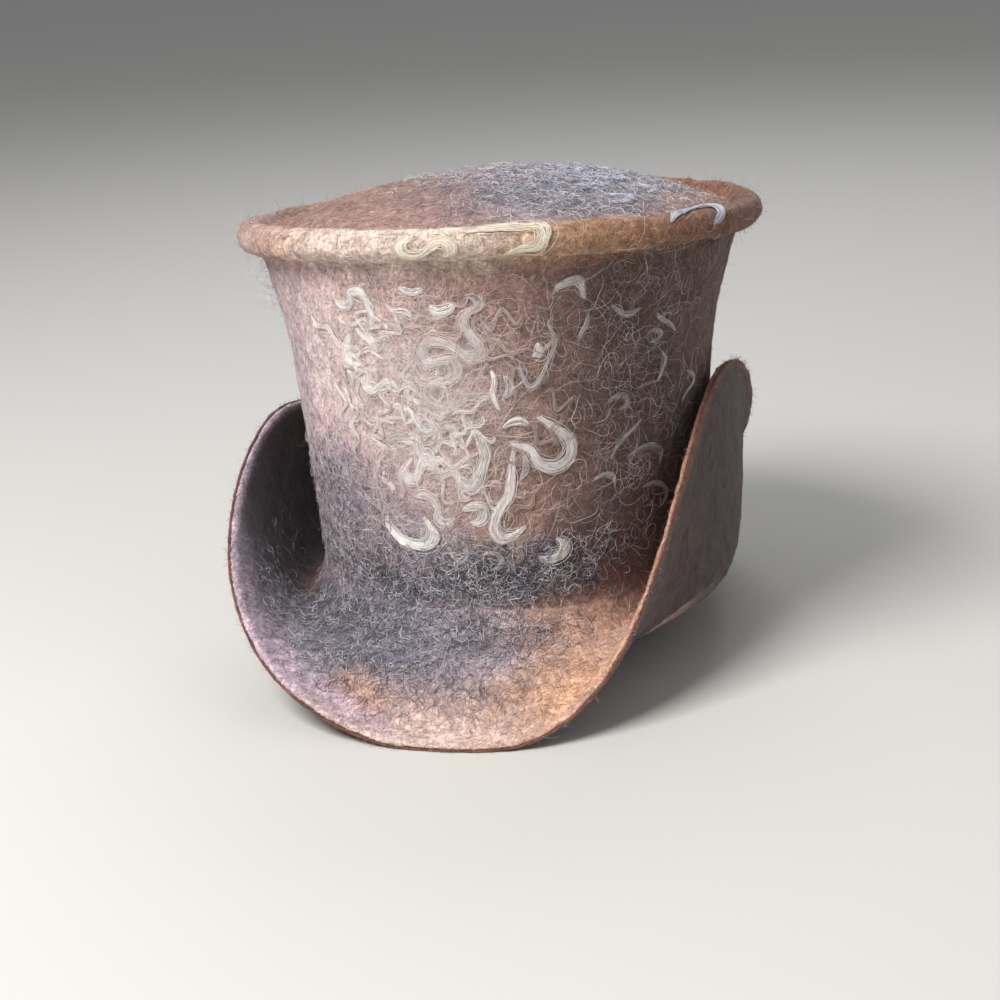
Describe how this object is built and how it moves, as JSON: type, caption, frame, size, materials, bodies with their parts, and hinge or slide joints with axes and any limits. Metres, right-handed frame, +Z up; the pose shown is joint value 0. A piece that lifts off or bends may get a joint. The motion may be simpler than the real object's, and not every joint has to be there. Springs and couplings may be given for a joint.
{
  "type": "top hat",
  "caption": "Hand-felted wool top hat with a flared crown, rolled rim, domed tip, high curled brim sides and curled fleece locks felted onto it.",
  "frame": {"origin": "on the surface the hat stands on, under the middle of its box", "axes": "+Z up, the wearer looks along -Y, +X is the wearer's left side, seen on the right from the front"},
  "size_m": [0.2396, 0.303, 0.2207],
  "materials": {
    "felt_crown": "matte hand-felted wool, fuzzy",
    "felt_tip": "matte hand-felted wool, fuzzy",
    "felt_rim": "matte hand-felted wool, fuzzy",
    "felt_brim_face": "matte hand-felted wool, fuzzy",
    "felt_brim_base": "matte hand-felted wool, fuzzy",
    "ribbon": "ribbed ribbon, soft sheen",
    "fleece_cream": "lustrous curled fleece",
    "fleece_grey": "lustrous curled mohair",
    "fleece_blue": "lustrous curled fleece"
  },
  "bodies": {
    "root": {"crown_wall": "felt_crown", "crown_tip": "felt_tip", "tip_rim": "felt_rim", "brim_face": "felt_brim_face", "brim_base": "felt_brim_base", "sweatband": "ribbon", "sweatband_lap": "ribbon", "curl_big_ring": "fleece_cream", "curl_crimp_lower": "fleece_cream", "curl_crimp_upper": "fleece_cream", "curl_faint_ring": "fleece_grey", "curl_foot_ring": "fleece_grey", "curl_high_arc": "fleece_cream", "curl_hook_side": "fleece_grey", "curl_left_arc": "fleece_grey", "curl_left_comma": "fleece_cream", "curl_left_crescent": "fleece_cream", "curl_left_hook": "fleece_cream", "curl_left_loop": "fleece_cream", "curl_left_wave": "fleece_cream", "curl_long_s": "fleece_cream", "curl_low_hook": "fleece_cream", "curl_right_crescent": "fleece_cream", "curl_small_ring": "fleece_cream", "curl_soft_far": "fleece_grey", "curl_soft_left": "fleece_cream", "curl_soft_low": "fleece_cream", "curl_soft_middle": "fleece_cream", "curl_soft_right": "fleece_cream", "curl_soft_ring": "fleece_cream", "curl_soft_upper": "fleece_cream", "curl_spark": "fleece_cream", "curl_teardrop": "fleece_cream", "curl_upper_wave": "fleece_cream", "curl_v_loop": "fleece_grey", "curl_white_hook": "fleece_cream", "mohair_coil": "fleece_grey", "mohair_diagonal_trail": "fleece_grey", "mohair_foot_curl": "fleece_grey", "mohair_high_trail": "fleece_grey", "mohair_knot": "fleece_grey", "mohair_loop": "fleece_grey", "mohair_low_curl": "fleece_grey", "mohair_middle_trail": "fleece_grey", "mohair_right_hook": "fleece_grey", "mohair_right_wave": "fleece_grey", "mohair_upper_wave": "fleece_grey", "rim_band_curl": "fleece_cream", "rim_crimped_curl": "fleece_cream", "rim_right_curl": "fleece_blue", "side_tuft_lower": "fleece_blue", "side_tuft_upper": "fleece_blue", "tip_curl_back": "fleece_blue", "tip_curl_corner": "fleece_blue", "tip_curl_front": "fleece_blue", "tip_curl_middle": "fleece_blue", "tip_curl_right": "fleece_blue"}
  },
  "joints": []
}
